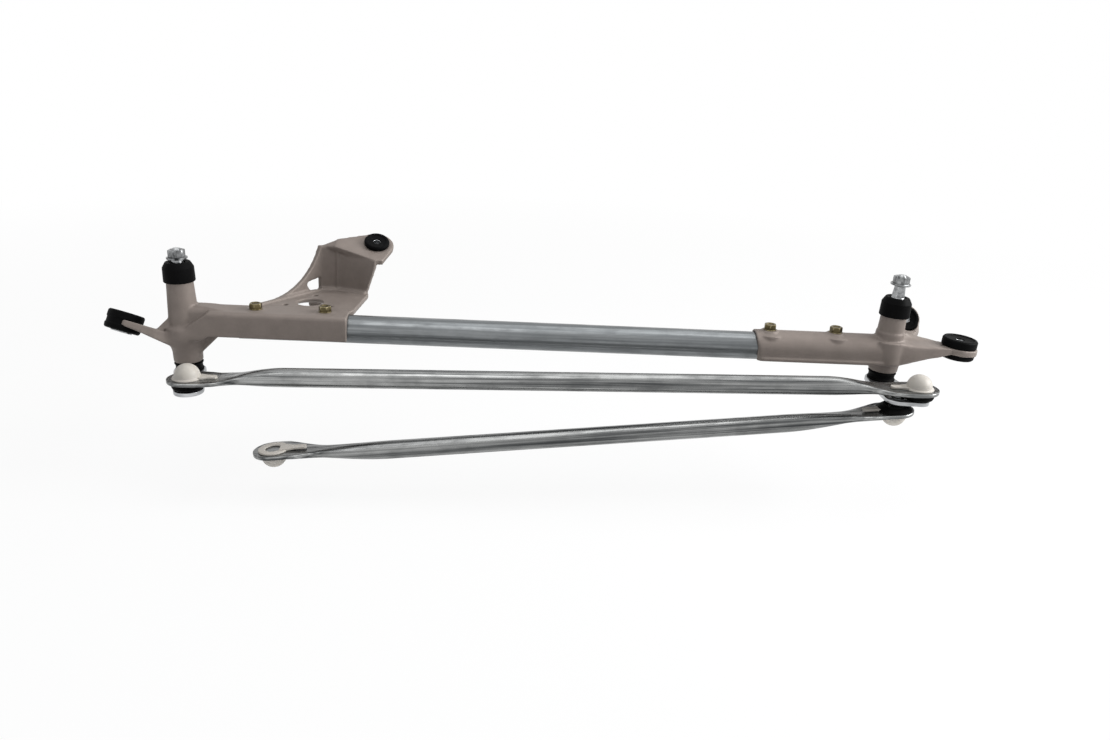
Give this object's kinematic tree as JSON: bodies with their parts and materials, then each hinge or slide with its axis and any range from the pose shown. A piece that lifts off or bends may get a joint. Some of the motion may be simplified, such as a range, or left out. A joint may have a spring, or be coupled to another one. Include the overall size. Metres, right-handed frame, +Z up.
{
  "type": "wiper linkage",
  "caption": "Windscreen wiper linkage: tube frame joining cast pivot housings, with crank arms, ball-jointed links, rubber body mounts and a motor plate.",
  "frame": {"origin": "centre of the left body mount", "axes": "+X along the frame tube towards the right mount, +Y to the motor plate's side, +Z up along the wiper pivots"},
  "size_m": [0.7833, 0.1897, 0.1762],
  "materials": {
    "cast_aluminium": "as cast",
    "zinc_steel": "galvanised",
    "bright_steel": "bright zinc",
    "yellow_zinc": "yellow zinc",
    "bronze": "sintered",
    "rubber": "matt black",
    "nylon": "satin"
  },
  "bodies": {
    "frame": {"frame_tube": "zinc_steel", "left_housing": "cast_aluminium", "right_housing": "cast_aluminium", "left_tube_screws": "yellow_zinc", "right_tube_screws": "yellow_zinc", "left_upper_bush": "bronze", "left_lower_bush": "bronze", "right_upper_bush": "bronze", "right_lower_bush": "bronze", "left_cap": "rubber", "right_cap": "rubber", "left_grommet": "rubber", "right_grommet": "rubber", "rear_grommet": "rubber", "bracket_grommet": "rubber", "left_sleeve": "bright_steel", "right_sleeve": "bright_steel", "rear_sleeve": "bright_steel", "bracket_sleeve": "bright_steel"},
    "right_rocker": {"right_shaft": "bright_steel", "right_crank": "zinc_steel", "right_ball_stud": "bright_steel", "drive_ball_stud": "bright_steel", "right_pivot_seal": "rubber", "right_thrust_washer": "zinc_steel", "right_circlip": "zinc_steel", "right_nut": "bright_steel"},
    "left_rocker": {"left_shaft": "bright_steel", "left_crank": "zinc_steel", "left_ball_stud": "bright_steel", "left_pivot_seal": "rubber", "left_thrust_washer": "zinc_steel", "left_circlip": "zinc_steel", "left_nut": "bright_steel"},
    "connecting_link": {"long_link": "zinc_steel", "long_link_left_socket": "nylon", "long_link_right_socket": "nylon", "long_link_left_seal": "rubber", "long_link_right_seal": "rubber"},
    "motor_link": {"drive_link": "zinc_steel", "drive_link_socket": "nylon", "drive_link_boot": "rubber", "motor_socket": "nylon"}
  },
  "joints": [
    {"name": "right_pivot", "type": "hinge", "parent": "frame", "child": "right_rocker", "pos_m": [0.6835, 0, 0], "axis": [0.0384, 0, 0.9993], "range_deg": [-61, 28]},
    {"name": "left_pivot", "type": "hinge", "parent": "frame", "child": "left_rocker", "pos_m": [0.0515, 0, 0], "axis": [-0.0384, 0, 0.9993], "range_deg": [-61, 28]},
    {"name": "link_pivot", "type": "hinge", "parent": "right_rocker", "child": "connecting_link", "pos_m": [0.69758, -0.04988, -0.01595], "axis": [0.0405, -0.0059, 0.9992], "range_deg": [-28, 61]},
    {"name": "drive_pivot", "type": "hinge", "parent": "right_rocker", "child": "motor_link", "pos_m": [0.67872, -0.0504, -0.04175], "axis": [0.0384, 0, 0.9993], "range_deg": [-45, 65]}
  ],
  "couplings": [
    {"joint": "left_pivot", "follows": "right_pivot", "ratio": 1},
    {"joint": "link_pivot", "follows": "right_pivot", "ratio": -1}
  ]
}
